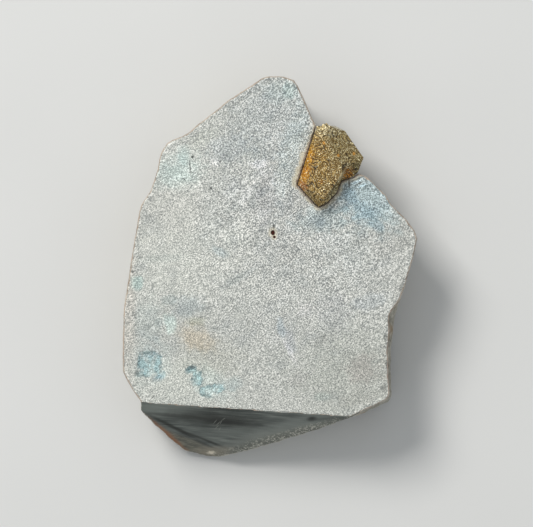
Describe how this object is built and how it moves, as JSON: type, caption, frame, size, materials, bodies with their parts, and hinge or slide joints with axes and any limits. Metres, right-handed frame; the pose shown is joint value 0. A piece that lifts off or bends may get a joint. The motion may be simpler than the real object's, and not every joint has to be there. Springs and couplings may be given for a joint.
{
  "type": "pyrite specimen",
  "caption": "Flat, broken slab of pale grey marl with a bronze-coloured pyrite crystal cluster set in one edge. It lies on its back.",
  "frame": {"origin": "under the middle of the bounding box, on the plane that the specimen rests on", "axes": "+X towards the specimen's right, +Y towards its upper end and along its length, +Z out of its face, away from the surface it lies on"},
  "size_m": [0.062, 0.0803, 0.0196],
  "materials": {
    "marl": "matt, fine-grained, with darker broken surfaces at the lower end",
    "pyrite": "bronze, rough and weathered, with metallic glints"
  },
  "bodies": {
    "root": {"stone_matrix": "marl", "pyrite_crystal": "pyrite"}
  },
  "joints": []
}
